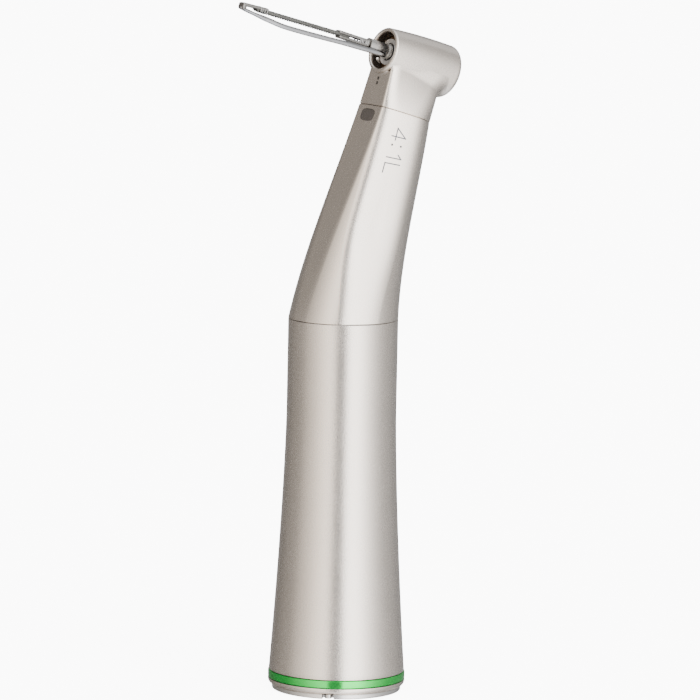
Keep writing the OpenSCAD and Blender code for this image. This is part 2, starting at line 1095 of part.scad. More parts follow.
// A flat bar between two points of the insert, held level across
module bar(from, to, width, thick) {
    p = tool_point(from[0], from[1], 0);
    q = tool_point(to[0], to[1], 0);
    lean = atan2(q[2] - p[2], -(q[0] - p[0]));
    translate(p)
        rotate([0, lean, 0])
            translate([-norm(q - p), -width / 2, -thick / 2])
                cube([norm(q - p), width, thick]);
}

module abrasive_strip() {
    color("dimgray")
        union() {
            bar([near_to - 2.5, near_drop], [near_to, near_drop], strip_w, strip_t / 2);
            bar([near_to - 0.05, near_drop], [far_from + 0.05, 0], strip_w, strip_t);
            bar([far_from, 0], [far_from + 2.5, 0.12], strip_w, strip_t / 2);
        }
}

module near_clamp() {
    color("silver")
        difference() {
            bar([near_from, near_drop], [near_to, near_drop], strip_w + 0.2, clamp_t);
            bar([near_from + 0.8, near_drop], [near_to + 0.5, near_drop], strip_w + 1, slit);
        }
}

module far_clamp() {
    color("silver")
        difference() {
            bar([far_from, 0], [far_to, 0.24], strip_w + 0.2, clamp_t);
            bar([far_from - 0.5, -0.02], [far_to - 0.5, 0.22], strip_w + 1, slit);
        }
}

// ---------- light and spray ----------

module light_guide() {
    color("lightcyan")
        wire(guide_route, guide_r, 16, [0, 1, 0]);
}

module water_tube() {
    color("steelblue")
        wire(line_route(-1, neck_len + 0.9), line_r, 12, [0, 1, 0]);
}

module air_tube() {
    color("lightblue")
        wire(line_route(1, neck_len + 0.9), line_r, 12, [0, 1, 0]);
}

module set_screw() {
    color("gray")
        on_neck(neck_len - 1.5)
            rotate([0, 90, 0])
                difference() {
                    union() {
                        translate([0, 0, neck_r - neck_wall - 0.1])
                            cylinder(h = neck_wall - 0.25, r = 0.8);
                        translate([0, 0, 3.2])
                            cylinder(h = 1, r = 0.5);
                    }
                    translate([0, 0, neck_r - 0.75])
                        cylinder(h = 1, r = 0.42, $fn = 6);
                }
}

rear_sleeve();
neck_sleeve();
head_housing();
head_cap();
color_ring();
base_ring();
coupling_tube();
locating_pin();
latch_ring();
sleeve_seals();
joint_nut();
gear_case();
ring_gear();
input_shaft();
dog_pin();
drive_dog();
dog_spring();
input_circlip();
input_inner_race();
input_outer_race();
input_balls();
planet_gear_1();
planet_gear_2();
planet_gear_3();
planet_pins();
planet_carrier();
carrier_inner_race();
carrier_outer_race();
carrier_balls();
carrier_circlip();
rear_crown_gear();
neck_crown_gear();
neck_shaft();
eccentric_pin();
lower_inner_race();
lower_outer_race();
lower_balls();
upper_inner_race();
upper_outer_race();
upper_balls();
plunger();
front_bush();
rear_bush();
chuck_clip();
insert_shank();
bow_rod();
abrasive_strip();
near_clamp();
far_clamp();
light_guide();
light_window();
water_tube();
air_tube();
set_screw();
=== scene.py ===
"""Looks of a contra-angle dental handpiece with a reciprocating strip insert.

Lengths in the classes are millimetres, in the frame of the part: the origin is
the centre of the coupling mouth and +Z runs up the grip.
"""

from __future__ import annotations

import logging
import math
from dataclasses import dataclass
from enum import Enum
from typing import Any, Callable, Sequence

import bpy
import numpy as np
from mathutils import Matrix, Vector

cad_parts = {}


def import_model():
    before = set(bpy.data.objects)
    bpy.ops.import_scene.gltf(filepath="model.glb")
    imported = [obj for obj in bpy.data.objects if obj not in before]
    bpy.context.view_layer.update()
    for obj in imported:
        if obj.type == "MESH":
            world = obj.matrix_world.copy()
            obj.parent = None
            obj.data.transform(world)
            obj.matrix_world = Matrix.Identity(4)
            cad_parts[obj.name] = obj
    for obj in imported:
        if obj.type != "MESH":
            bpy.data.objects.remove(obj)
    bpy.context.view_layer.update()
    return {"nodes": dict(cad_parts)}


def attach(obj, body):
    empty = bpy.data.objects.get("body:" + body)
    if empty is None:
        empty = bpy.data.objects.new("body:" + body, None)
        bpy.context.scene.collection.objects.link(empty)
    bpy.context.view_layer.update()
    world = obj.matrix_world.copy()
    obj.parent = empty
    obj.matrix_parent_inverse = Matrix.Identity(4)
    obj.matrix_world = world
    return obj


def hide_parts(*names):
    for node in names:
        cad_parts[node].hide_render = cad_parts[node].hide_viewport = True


LOG = logging.getLogger("handpiece")
MM = 0.001
Array = np.ndarray


# ---------------------------------------------------------------- geometry


@dataclass(frozen=True)
class Plan:
    """The sizes that several sub-assemblies share."""

    bend: float = 18.0
    bend_z: float = 58.3
    grip_r: float = 8.0
    grip_flare: float = 1.9
    flare_top: float = 41.0
    sleeve_z: float = 2.86
    sleeve_top: float = 54.5
    sleeve_bore: float = 7.0
    tube_r: float = 7.95
    neck_len: float = 27.1
    neck_r: float = 5.3
    facet_out: float = 4.45
    head_rise: float = 8.1
    head_front: float = 5.1
    head_back: float = 7.0
    head_front_r: float = 3.35
    head_rear_r: float = 3.95
    bore_r: float = 2.8
    seam_gap: float = 0.05
    side_turn: float = 72.0
    side_top_turn: float = 88.0
    side_cut: float = 0.132
    stub_half: float = 3.08

    @property
    def head_t(self) -> float:
        """Distance of the head's axis from the bend, along the neck."""
        return self.neck_len + self.head_rise

    def neck(self, along: Any, out: Any = 0.0, side: Any = 0.0) -> Array:
        """Turns neck coordinates into the part's frame.

        Args:
            along: Distance up the neck's axis from the bend.
            out: Distance to the front of that axis.
            side: Distance to +Y.

        Returns:
            An array whose last axis holds x, y and z.
        """
        s, c = math.sin(math.radians(self.bend)), math.cos(math.radians(self.bend))
        along, out, side = np.broadcast_arrays(along, out, side)
        x = along * s - out * c
        z = self.bend_z + along * c + out * s
        return np.stack([x, side + 0.0 * x, z], axis=-1).astype(float)

    @property
    def facet(self) -> tuple[Array, Array, Array]:
        """A point of the flat front face, its outward normal, and the way up it."""
        foot = np.array([-self.grip_r, 0.0, self.sleeve_top])
        up = self.neck(self.neck_len, self.facet_out) - foot
        up /= np.linalg.norm(up)
        return foot, np.array([-up[2], 0.0, up[0]]), up


PLAN = Plan()


def soft_part(over: Array, size: float) -> Array:
    """The part of over above nil, with its corner rounded over size."""
    push = (over + np.sqrt(over**2 + size**2)) / 2
    return np.maximum(push - size**2 / (4 * np.maximum(np.abs(over), size)), 0.0)


def smooth_step(x: Array, low: float, high: float) -> Array:
    """Runs from 0 at low to 1 at high with level ends."""
    u = np.clip((x - low) / (high - low), 0.0, 1.0)
    return u * u * (3.0 - 2.0 * u)


def smooth_max(a: Array, b: Array, size: Any) -> Array:
    """The larger of a and b, rounded over size where they meet."""
    h = np.maximum(size - np.abs(a - b), 0.0) / size
    return np.maximum(a, b) + h * h * size / 4.0


def smooth_min(a: Array, b: Array, size: Any) -> Array:
    """The smaller of a and b, rounded over size where they meet."""
    return -smooth_max(-a, -b, size)


def spline(knots: Sequence[Sequence[float]], steps: int) -> Array:
    """Carries a smooth curve through knots.

    Each stretch is the cubic whose ends lean along the line between the knots
    before and after, so the curve passes through every knot.

    Args:
        knots: The points to pass through.
        steps: Points on each stretch.

    Returns:
        The curve's points, first and last knot included.
    """
    k = np.asarray(knots, float)
    p = np.vstack([2 * k[0] - k[1], k, 2 * k[-1] - k[-2]])
    u = (np.arange(steps) / steps)[None, :, None]
    a, b, c, d = (p[i : len(p) - 3 + i, None] for i in range(4))
    out = b + u * (c - a) / 2
    out = out + u**2 * (2 * a - 5 * b + 4 * c - d) / 2
    out = out + u**3 * (3 * b - a - 3 * c + d) / 2
    return np.vstack([out.reshape(-1, k.shape[1]), k[-1:]])


def rounded(corners: Sequence[tuple[float, float, float]], steps: int = 6) -> Array:
    """Rounds the corners of a closed outline.

    Each corner is cut back by its own radius on both sides, and a parabola that
    is tangent to both sides joins the cuts.

    Args:
        corners: (r, z, rounding) in order round the outline.
        steps: Points on each rounded corner.

    Returns:
        The outline's (r, z) points.
    """
    p = np.array([c[:2] for c in corners], float)
    rows = []
    for i, (_, _, size) in enumerate(corners):
        here, before, after = p[i], p[i - 1], p[(i + 1) % len(p)]
        if size <= 0:
            rows.append(here[None])
            continue
        a = here + (before - here) / np.linalg.norm(before - here) * size
        b = here + (after - here) / np.linalg.norm(after - here) * size
        u = np.linspace(0.0, 1.0, steps)[:, None]
        rows.append((1 - u) ** 2 * a + 2 * u * (1 - u) * here + u**2 * b)
    return np.vstack(rows)


class Wrap(Enum):
    """Which way round a grid closes on itself."""

    ROUND = "round"
    BOTH = "both"


def grid_faces(rows: int, cols: int, wrap: Wrap) -> Array:
    """Numbers the four corners of each face of a grid of points.

    Args:
        rows: Points along the first parameter.
        cols: Points along the second parameter, which always closes.
        wrap: Whether the first parameter closes too.

    Returns:
        An array of faces by four corners.
    """
    last = rows if wrap is Wrap.BOTH else rows - 1
    i, j = np.meshgrid(np.arange(last), np.arange(cols), indexing="ij")
    i2, j2 = (i + 1) % rows, (j + 1) % cols
    quads = [i * cols + j, i * cols + j2, i2 * cols + j2, i2 * cols + j]
    return np.stack(quads, axis=-1).reshape(-1, 4)


class Shell:
    """Gathers closed surfaces and makes one mesh object of them."""

    def __init__(self, name: str) -> None:
        """Starts an empty piece called name."""
        self.name = name
        self.points: list[Array] = []
        self.faces: list[Array] = []
        self.count = 0

    def add(self, grid: Array, wrap: Wrap = Wrap.BOTH) -> Shell:
        """Adds a surface given as rows by columns of points.

        Args:
            grid: Points in millimetres, rows by columns by three.
            wrap: BOTH for a ring-like surface; ROUND for a tube, whose end
                rows are closed with one many-sided face each.

        Returns:
            This shell, so that calls can follow each other.
        """
        rows, cols = grid.shape[:2]
        quads = grid_faces(rows, cols, wrap)
        faces = [quads]
        if wrap is Wrap.ROUND:
            faces.append(np.arange(cols)[::-1][None])
            faces.append((rows - 1) * cols + np.arange(cols)[None])
        flat = grid.reshape(-1, 3)
        if self._volume(flat, quads) < 0:
            faces = [f[:, ::-1] for f in faces]
        self.faces += [f + self.count for f in faces]
        self.points.append(flat)
        self.count += len(flat)
        return self

    @staticmethod
    def _volume(flat: Array, quads: Array) -> float:
        """Six times the signed volume under the faces, about their centre."""
        p = flat - flat.mean(0)
        a, b, c, d = (p[quads[:, k]] for k in range(4))
        one = np.einsum("ij,ij->i", a, np.cross(b, c))
        two = np.einsum("ij,ij->i", a, np.cross(c, d))
        return float(one.sum() + two.sum())

    def build(self, sharp: float = 35.0) -> bpy.types.Object:
        """Makes the object, smooth but for edges that turn more than sharp degrees."""
        points = np.vstack(self.points) * MM
        mesh = bpy.data.meshes.new(self.name)
        counts = np.concatenate([np.full(len(f), f.shape[1]) for f in self.faces])
        loops = np.concatenate([f.ravel() for f in self.faces])
        starts = np.concatenate([[0], np.cumsum(counts)[:-1]])
        mesh.vertices.add(len(points))
        mesh.vertices.foreach_set("co", points.astype(np.float32).ravel())
        mesh.loops.add(len(loops))
        mesh.loops.foreach_set("vertex_index", loops.astype(np.int32))
        mesh.polygons.add(len(counts))
        mesh.polygons.foreach_set("loop_start", starts.astype(np.int32))
        mesh.polygons.foreach_set("loop_total", counts.astype(np.int32))
        mesh.update(calc_edges=True)
        mesh.validate()
        mesh.polygons.foreach_set("use_smooth", np.ones(len(mesh.polygons), bool))
        mesh.set_sharp_from_angle(angle=math.radians(sharp))
        obj = bpy.data.objects.new(self.name, mesh)
        bpy.context.scene.collection.objects.link(obj)
        return obj


def lathe(outline: Array, place: Callable[[Array], Array], cols: int = 160) -> Array:
    """Turns an (r, z) outline round an axis.

    Args:
        outline: The (r, z) points.
        place: Takes x, y, z points about a +Z axis to where the piece stands.
        cols: Points round the axis.

    Returns:
        Rows by columns of placed points.
    """
    a = np.linspace(0.0, 2 * np.pi, cols, endpoint=False)
    r, z = outline[:, :1], outline[:, 1:]
    return place(np.stack([r * np.cos(a), r * np.sin(a), z + 0 * a], axis=-1))


def upright(points: Array) -> Array:
    """Leaves points as they are: an axis that is the grip's own."""
    return points


def on_head(points: Array) -> Array:
    """Places points whose +Z leaves the head's open front."""
    return PLAN.neck(PLAN.head_t + points[..., 0], points[..., 2], points[..., 1])


def tube(path: Array, radius: Any, cols: int = 24, flat: Any = 1.0) -> Array:
    """Carries a round or oval section along a path.

    The section stands across the path, with one axis level along Y.

    Args:
        path: Points of the middle line.
        radius: The section's half height, one or one for each point.
        cols: Points round the section.
        flat: Half width over half height, one or one for each point.

    Returns:
        Rows by columns of points.
    """
    step = np.gradient(path, axis=0)
    step /= np.linalg.norm(step, axis=1, keepdims=True)
    high = np.cross(np.array([0.0, 1.0, 0.0]), step)
    high /= np.linalg.norm(high, axis=1, keepdims=True)
    wide = np.cross(step, high)
    r = np.broadcast_to(np.asarray(radius, float), (len(path),))[:, None, None]
    f = np.broadcast_to(np.asarray(flat, float), (len(path),))[:, None, None]
    a = np.linspace(0.0, 2 * np.pi, cols, endpoint=False)[None, :, None]
    ring = high[:, None] * np.cos(a) + wide[:, None] * np.sin(a) * f
    return path[:, None] + r * ring


def round_ends(path: Array, radius: float, steps: int = 6) -> tuple[Array, Array]:
    """Adds rows that close both ends of a path with half balls.

    Args:
        path: Points of the middle line.
        radius: The radius along the whole path.
        steps: Rows in each half ball.

    Returns:
        The longer path and the radius at each of its points.
    """
    a = np.linspace(0.04, 1.0, steps) * np.pi / 2
    first, last = path[0] - path[1], path[-1] - path[-2]
    first, last = first / np.linalg.norm(first), last / np.linalg.norm(last)
    head = path[0] + first * (np.cos(a) * radius)[:, None]
    tail = path[-1] + last * (np.cos(a[::-1]) * radius)[:, None]
    r = np.concatenate([np.sin(a) * radius, np.full(len(path) - 2, radius), np.sin(a[::-1]) * radius])
    return np.vstack([head, path[1:-1], tail]), r


# --------------------------------------------------------------- materials


class Sock:
    """A shader value that takes part in Python sums."""

    def __init__(self, tree: bpy.types.NodeTree, link: Any) -> None:
        """Wraps an output socket of tree."""
        self.tree, self.link = tree, link

    def _math(self, kind: str, *values: Any, clamp: bool = False) -> Sock:
        """Adds one Math node over the given values."""
        return make(self.tree, "ShaderNodeMath", {"operation": kind, "use_clamp": clamp}, dict(enumerate(values)))

    def __add__(self, other: Any) -> Sock:
        """Adds."""
        return self._math("ADD", self, other)

    __radd__ = __add__

    def __mul__(self, other: Any) -> Sock:
        """Multiplies."""
        return self._math("MULTIPLY", self, other)

    __rmul__ = __mul__

    def __sub__(self, other: Any) -> Sock:
        """Takes other away."""
        return self._math("SUBTRACT", self, other)

    def __rsub__(self, other: Any) -> Sock:
        """Takes this away from other."""
        return self._math("SUBTRACT", other, self)

    def clamped(self) -> Sock:
        """Limits the value to 0 to 1."""
        return self._math("ADD", self, 0.0, clamp=True)


def make(
    tree: bpy.types.NodeTree,
    kind: str,
    settings: dict[str, Any] | None = None,
    values: dict[Any, Any] | None = None,
    output: Any = 0,
) -> Sock:
    """Adds a node, sets it up, and fills its sockets.

    Args:
        tree: The node tree to add to.
        kind: The node's type name.
        settings: Properties, set first; "stops" fills a colour ramp.
        values: A Sock to link, or a plain value, for each input socket.
        output: Name or number of the socket to return.

    Returns:
        The node's chosen output.
    """
    node = tree.nodes.new(kind)
    for key, value in (settings or {}).items():
        if key == "stops":
            ramp = node.color_ramp.elements
            while len(ramp) < len(value):
                ramp.new(0.5)
            for element, (at, colour) in zip(ramp, value):
                element.position, element.color = at, (*colour, 1.0)
        else:
            setattr(node, key, value)
    for key, value in (values or {}).items():
        if isinstance(value, Sock):
            tree.links.new(value.link, node.inputs[key])
        else:
            node.inputs[key].default_value = value
    return Sock(tree, node.outputs[output])


@dataclass(frozen=True)
class Finish:
    """A metal or plastic finish with fine grain and slight unevenness.

    colour is the base colour, rough the roughness, grain the size of the grain
    in millimetres, relief the height of its bump, and stretch the grain's
    scale along X, Y and Z, for turned or drawn marks.
    """

    name: str
    colour: tuple[float, float, float]
    metallic: float = 1.0
    rough: float = 0.35
    vary: float = 0.06
    grain: float = 0.1
    relief: float = 0.02
    stretch: tuple[float, float, float] = (1.0, 1.0, 1.0)
    coat: float = 0.0
    alpha: float = 1.0
    edge: float = 0.0

    def material(self) -> bpy.types.Material:
        """Returns the material, made once for each name."""
        name = f"{self.name}_look"
        found = bpy.data.materials.get(name)
        if found:
            return found
        mat = bpy.data.materials.new(name)
        mat.use_nodes = True
        tree = mat.node_tree
        shader = tree.nodes["Principled BSDF"]
        shader.inputs["Metallic"].default_value = self.metallic
        shader.inputs["Coat Weight"].default_value = self.coat
        shader.inputs["Coat Roughness"].default_value = 0.06
        if self.alpha < 1:
            shader.inputs["Alpha"].default_value = self.alpha
        place = make(tree, "ShaderNodeTexCoord", output="Object")
        scale = tuple(s / (self.grain * MM) for s in self.stretch)
        fine = make(tree, "ShaderNodeMapping", {"vector_type": "POINT"}, {"Vector": place, "Scale": scale})
        noise = make(tree, "ShaderNodeTexNoise", None, {"Vector": fine, "Scale": 1.0, "Detail": 3.0, "Roughness": 0.6})
        cloud = make(tree, "ShaderNodeTexNoise", None, {"Vector": place, "Scale": 260.0, "Detail": 4.0})
        uneven = (noise - 0.5) * 0.7 + (cloud - 0.5) * 0.5
        dark = tuple(c * (1 - self.vary) for c in self.colour)
        light = tuple(min(c * (1 + self.vary), 1.0) for c in self.colour)
        ramp = make(tree, "ShaderNodeValToRGB", {"stops": [(0.25, dark), (0.75, light)]}, {0: (uneven + 0.5).clamped()})
        colour = ramp
        if self.edge > 0:
            # Lightens the base colour on convex edges, found from Pointiness.
            convex_edge = make(tree, "ShaderNodeNewGeometry", output="Pointiness")
            ridge = ((convex_edge - 0.51) * 12.0).clamped() * self.edge
            bright = (*(min(c * 1.25, 1.0) for c in self.colour), 1.0)
            colour = make(
                tree,
                "ShaderNodeMix",
                {"data_type": "RGBA"},
                {0: ridge, 6: ramp, 7: bright},
                output=2,
            )
        tree.links.new(colour.link, shader.inputs["Base Color"])
        rough = (uneven * 0.12 + self.rough).clamped()
        tree.links.new(rough.link, shader.inputs["Roughness"])
        bump = make(
            tree,
            "ShaderNodeBump",
            None,
            {"Height": noise, "Strength": 1.0, "Distance": self.relief * MM},
            output="Normal",
        )
        tree.links.new(bump.link, shader.inputs["Normal"])
        return mat

    def on(self, obj: bpy.types.Object) -> bpy.types.Object:
        """Gives obj this finish all over."""
        obj.data.materials.clear()
        obj.data.materials.append(self.material())
        return obj


CASING = Finish("blasted_casing", (0.71, 0.65, 0.59), rough=0.27, vary=0.02, grain=0.16, relief=0.012)
RIM = Finish("bright_rim", (0.78, 0.765, 0.74), rough=0.3, vary=0.03, grain=0.1, relief=0.004)
GREEN = Finish("green_enamel", (0.035, 0.56, 0.09), 0.9, 0.16, 0.05, 0.3, 0.002, coat=0.0)
TURNED = Finish("turned_steel", (0.62, 0.61, 0.6), rough=0.3, grain=0.5, relief=0.004, stretch=(0.3, 0.3, 8.0))
GROUND = Finish("ground_steel", (0.6, 0.6, 0.6), rough=0.26, grain=0.3, relief=0.004, stretch=(3.0, 3.0, 0.4))
GEAR = Finish("gear_steel", (0.5, 0.47, 0.42), rough=0.34, grain=0.15, relief=0.01)
ALLOY = Finish("turned_alloy", (0.68, 0.68, 0.69), rough=0.36, grain=0.4, relief=0.006, stretch=(0.3, 0.3, 6.0))
CERAMIC = Finish("ball_ceramic", (0.86, 0.85, 0.82), 0.0, 0.12, 0.02, 0.2, 0.001, coat=0.4)
BRONZE = Finish("bush_bronze", (0.42, 0.25, 0.13), rough=0.42, grain=0.08, relief=0.01)
RUBBER = Finish("seal_rubber", (0.02, 0.02, 0.02), 0.0, 0.6, 0.1, 0.12, 0.01)
WINDOW = Finish("smoked_window", (0.055, 0.047, 0.042), 0.0, 0.16, 0.1, 0.4, 0.002, coat=0.6)
GUIDE = Finish("clear_guide", (0.8, 0.88, 0.9), 0.0, 0.1, 0.02, 0.5, 0.001, coat=0.5, alpha=0.6)
DRAWN = Finish("drawn_wire", (0.34, 0.345, 0.36), rough=0.18, grain=0.22, relief=0.006, stretch=(0.3, 2.0, 2.0))
INSERT = Finish("insert_steel", (0.23, 0.225, 0.215), rough=0.36, grain=0.16, relief=0.01)
SHANK = Finish("turned_shank", (0.5, 0.49, 0.475), rough=0.28, grain=0.3, relief=0.004)
CRIMP = Finish("crimp_wire", (0.28, 0.28, 0.28), rough=0.2, grain=0.12, relief=0.01)
GRIT = Finish("diamond_grit", (0.13, 0.13, 0.122), 0.85, 0.45, 0.4, 0.07, 0.05)
INK = Finish("marking", (0.12, 0.13, 0.155), 0.0, 0.6, 0.05, 0.1, 0.002)
# Painted shade: a near-black finish for pieces that stand in for the shade in the head seam, inside the spray slots and
# round the window.
SHADOW = Finish("painted_recess_shade", (0.03, 0.026, 0.022), 0.3, 0.5, 0.1, 0.2, 0.004)
# Painted shade inside the head's bore: a dark brown finish for a thin lining tube.
CAVITY = Finish("painted_bore_shade", (0.085, 0.068, 0.056), 0.8, 0.4, 0.1, 0.1, 0.01)

NODE_FINISH: dict[str, Finish] = {
    "head_cap": CASING,
    "coupling_tube": TURNED,
    "locating_pin": TURNED,
    "latch_ring": GROUND,
    "sleeve_seals": RUBBER,
    "joint_nut": ALLOY,
    "gear_case": ALLOY,
    "ring_gear": GEAR,
    "input_shaft": GROUND,
    "dog_pin": GROUND,
    "drive_dog": TURNED,
    "dog_spring": DRAWN,
    "planet_pins": GROUND,
    "planet_carrier": TURNED,
    "rear_crown_gear": GEAR,
    "neck_crown_gear": GEAR,
    "neck_shaft": GROUND,
    "eccentric_pin": GROUND,
    "plunger": TURNED,
    "front_bush": BRONZE,
    "rear_bush": BRONZE,
    "chuck_clip": GROUND,
    "insert_shank": SHANK,
    "light_guide": GUIDE,
    "water_tube": GROUND,
    "air_tube": GROUND,
    "set_screw": GROUND,
}


def node_finish(name: str) -> Finish:
    """Picks the finish of a carried node by its name."""
    if name.endswith("_balls"):
        return CERAMIC
    if name.startswith("planet_gear"):
        return GEAR
    return NODE_FINISH.get(name, GROUND)


def place_piece(
    obj: bpy.types.Object, finish: Finish, body: str, slot: str, *nodes: str
) -> bpy.types.Object:
    """Dresses a piece, makes it ride on a body, and hides the nodes that it stands for.

    Args:
        obj: The piece.
        finish: Its finish.
        body: The body that carries it.
        slot: A material slot name; not used.
        *nodes: The nodes that it replaces.

    Returns:
        The piece.
    """
    finish.on(obj)
    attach(obj, body)
    if nodes:
        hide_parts(*nodes)
    LOG.info("%s: %d faces", obj.name, len(obj.data.polygons))
    return obj


# ------------------------------------------------------------ sub-assemblies


@dataclass
class Grip:
    """The rear sleeve with its colour ring and base ring."""

    ring_r: float = 10.0
    base_z: float = 0.65
    base_top: float = 1.62
    color_z: float = 1.68
    color_h: float = 1.12
    chamfer: float = 0.07

    def radius(self, z: Array) -> Array:
        """Radius of the sleeve: level above the flare, then growing as a power."""
        u = np.clip((PLAN.flare_top - z) / (PLAN.flare_top - PLAN.sleeve_z), 0.0, 1.0)
        return PLAN.grip_r + PLAN.grip_flare * u**1.45

    def sleeve(self) -> None:
        """Builds the rear sleeve as one turned shell."""
        low, high = PLAN.sleeve_z, PLAN.sleeve_top - PLAN.seam_gap
        z = np.linspace(low + 0.12, high - self.chamfer, 90)
        wall = np.stack([self.radius(z), z], axis=1)
        foot = self.radius(np.array([low]))[0]
        outline = np.vstack(
            [
                [[PLAN.tube_r, low], [foot - 0.14, low], [foot - 0.04, low + 0.04]],
                wall,
                [[PLAN.grip_r - self.chamfer, high], [PLAN.sleeve_bore, high]],
                [[PLAN.sleeve_bore, 23.0], [PLAN.tube_r, 23.0]],
            ]
        )
        obj = Shell("rear_sleeve_skin").add(lathe(outline, upright, 200)).build()
        place_piece(obj, CASING, "casing", "satin_casing", "rear_sleeve")

    def rings(self) -> None:
        """Builds the colour ring and the base ring with rounded edges."""
        top = self.color_z + self.color_h
        green = rounded(
            [
                (PLAN.tube_r, self.color_z, 0),
                (self.ring_r, self.color_z, 0.2),
                (self.ring_r, top, 0.2),
                (PLAN.tube_r, top, 0),
            ]
        )
        obj = Shell("color_ring_skin").add(lathe(green, upright, 200)).build(60)
        place_piece(obj, GREEN, "casing", "green_ring", "color_ring")
        base = rounded(
            [
                (PLAN.tube_r, self.base_z, 0),
                (self.ring_r - 0.55, self.base_z, 0.1),
                (self.ring_r, self.base_z + 0.45, 0.4),
                (self.ring_r, self.base_top, 0.1),
                (PLAN.tube_r, self.base_top, 0),
            ]
        )
        obj = Shell("base_ring_skin").add(lathe(base, upright, 200)).build(60)
        place_piece(obj, CASING, "casing", "satin_casing", "base_ring")

    def build(self) -> None:
        """Builds every piece of the grip."""
        self.sleeve()
        self.rings()


@dataclass
class Neck:
    """The neck sleeve with its flat face, light window and reduction mark."""

    wall: float = 1.0
    facet_wall: float = 0.5
    edge: float = 0.16
    bow: float = 0.6
    flank_edge: float = 0.8
    window_w: float = 3.2
    window_h: float = 1.8
    window_drop: float = 1.6
    mark_t: float = 24.75
    mark_angle: float = 108.0
    mark_h: float = 2.15
    mark_line: float = 0.17

    def surface(self, u: Array, turn: Array, inset: float, flat_inset: float) -> Array:
        """The tapering wall with its flat front.

        Straight lines join the ring on the grip to the ring at the head seam.
        Where a point would stand before the flat face, it moves back along its
        own ring, with a soft turn at the face's edge.

        Args:
            u: 0 at the grip to 1 at the head seam.
            turn: Angle round from the back, in radians.
            inset: How far the rings lie inside the outer wall.
            flat_inset: How far the flat lies inside the outer flat.

        Returns:
            Points in millimetres.
        """
        u, turn = np.broadcast_arrays(np.asarray(u, float), np.asarray(turn, float))
        lean = math.radians(PLAN.bend)
        low_r, high_r = PLAN.grip_r - inset, PLAN.neck_r - inset
        low = np.stack([low_r * np.cos(turn), low_r * np.sin(turn), PLAN.sleeve_top + 0 * u], -1)
        high = PLAN.neck(PLAN.neck_len - PLAN.seam_gap, -high_r * np.cos(turn), high_r * np.sin(turn))
        p = low + (high - low) * u[..., None]
        middle = PLAN.neck(PLAN.neck_len - PLAN.seam_gap) * u[..., None]
        middle = middle + np.array([0.0, 0.0, PLAN.sleeve_top]) * (1.0 - u[..., None])
        face = np.stack([-np.cos(lean * u), 0 * u, np.sin(lean * u)], -1)
        tilt = math.radians(PLAN.side_turn)
        reach = (low_r + (high_r - low_r) * u) * (1 - PLAN.side_cut * smooth_step(u, 0.0, 0.5))
        for sign in (-1.0, 1.0):
            flank = face * math.cos(tilt) + np.array([0.0, sign * math.sin(tilt), 0.0])
            over = np.einsum("...k,...k->...", p - middle, flank) - reach
            p = p - flank * soft_part(over, self.flank_edge)[..., None]
        bow = self.bow * 6.75 * u * (1.0 - u) ** 2
        foot, normal, _ = PLAN.facet
        angle = lean * u
        out = np.stack([-np.cos(angle), 0 * u, np.sin(angle)], -1)
        over = (p - foot) @ normal + flat_inset
        p = p - out * (soft_part(over, self.edge) / (out @ normal))[..., None]
        return p - np.stack([bow, 0 * u, 0 * u], -1) * (inset < self.edge)

    def sleeve(self) -> None:
        """Builds the neck sleeve as a shell with an inner wall."""
        turn = np.linspace(0.0, 2 * np.pi, 360, endpoint=False)[None]
        chamfer = 0.11
        u = np.concatenate([[0.0], [0.0022], np.linspace(0.006, 0.994, 100), [0.9978], [1.0]])[:, None]
        inset = np.concatenate([[chamfer], [0.01], np.zeros(100), [0.01], [chamfer]])
        outer = np.stack([self.surface(u[i : i + 1], turn, inset[i], inset[i])[0] for i in range(len(u))])
        inner = self.surface(np.linspace(1.0, 0.0, 24)[:, None], turn, self.wall, self.facet_wall)
        obj = Shell("neck_sleeve_skin").add(np.vstack([outer, inner])).build(30)
        place_piece(obj, CASING, "casing", "satin_casing", "neck_sleeve")

    def window(self) -> None:
        """Builds the rounded window, a hair above the flat, and its dark surround, which is painted shade round the
        window's edge.
        """
        _, normal, up = PLAN.facet
        side = np.array([0.0, 1.0, 0.0])
        centre = PLAN.neck(PLAN.neck_len, PLAN.facet_out) - up * self.window_drop
        a = np.linspace(0.0, 2 * np.pi, 72, endpoint=False)
        square = 3.2
        c, s = np.cos(a), np.sin(a)
        w = np.sign(c) * np.abs(c) ** (2 / square)
        h = np.sign(s) * np.abs(s) ** (2 / square)
        # The rim is a dark ring of painted shade round the glass.
        for name, grow, rise, finish in (
            ("light_window_rim_shade", 0.14, 0.006, SHADOW),
            ("light_window_glass", 0.0, 0.03, WINDOW),
        ):
            rows = []
            for scale, lift in ((0.02, -0.5), (1.0, -0.5), (1.0, rise - 0.02), (0.94, rise), (0.02, rise + 0.01)):
                half_w = (self.window_w / 2 + grow) * scale
                half_h = (self.window_h / 2 + grow) * scale
                rows.append(centre + normal * lift + side * (w * half_w)[:, None] + up * (h * half_h)[:, None])
            obj = Shell(name).add(np.stack(rows), Wrap.ROUND).build(40)
            nodes = ("light_window",) if finish is WINDOW else ()
            place_piece(obj, finish, "casing", "window_glass", *nodes)

    def mark(self) -> None:
        """Writes the reduction ratio down the side as thin inlaid strokes."""
        high = self.mark_h
        a = np.linspace(0.0, 2 * np.pi, 9)
        dot = np.stack([0.05 * np.cos(a), 0.05 * np.sin(a)], 1)
        strokes = [
            np.array([[1.25, high], [0.0, 0.3 * high], [1.75, 0.3 * high]]),
            np.array([[1.25, high], [1.25, 0.0]]),
            dot + [2.5, 0.35],
            dot + [2.5, 1.7],
            np.array([[3.8, 0.75 * high], [4.35, high], [4.35, 0.0]]),
            np.array([[5.2, high], [5.2, 0.0], [6.6, 0.0]]),
        ]
        shell = Shell("ratio_mark")
        for line in strokes:
            for p, q in zip(line[:-1], line[1:]):
                shell.add(self._stroke(p, q), Wrap.ROUND)
        place_piece(shell.build(60), INK, "casing", "satin_casing")

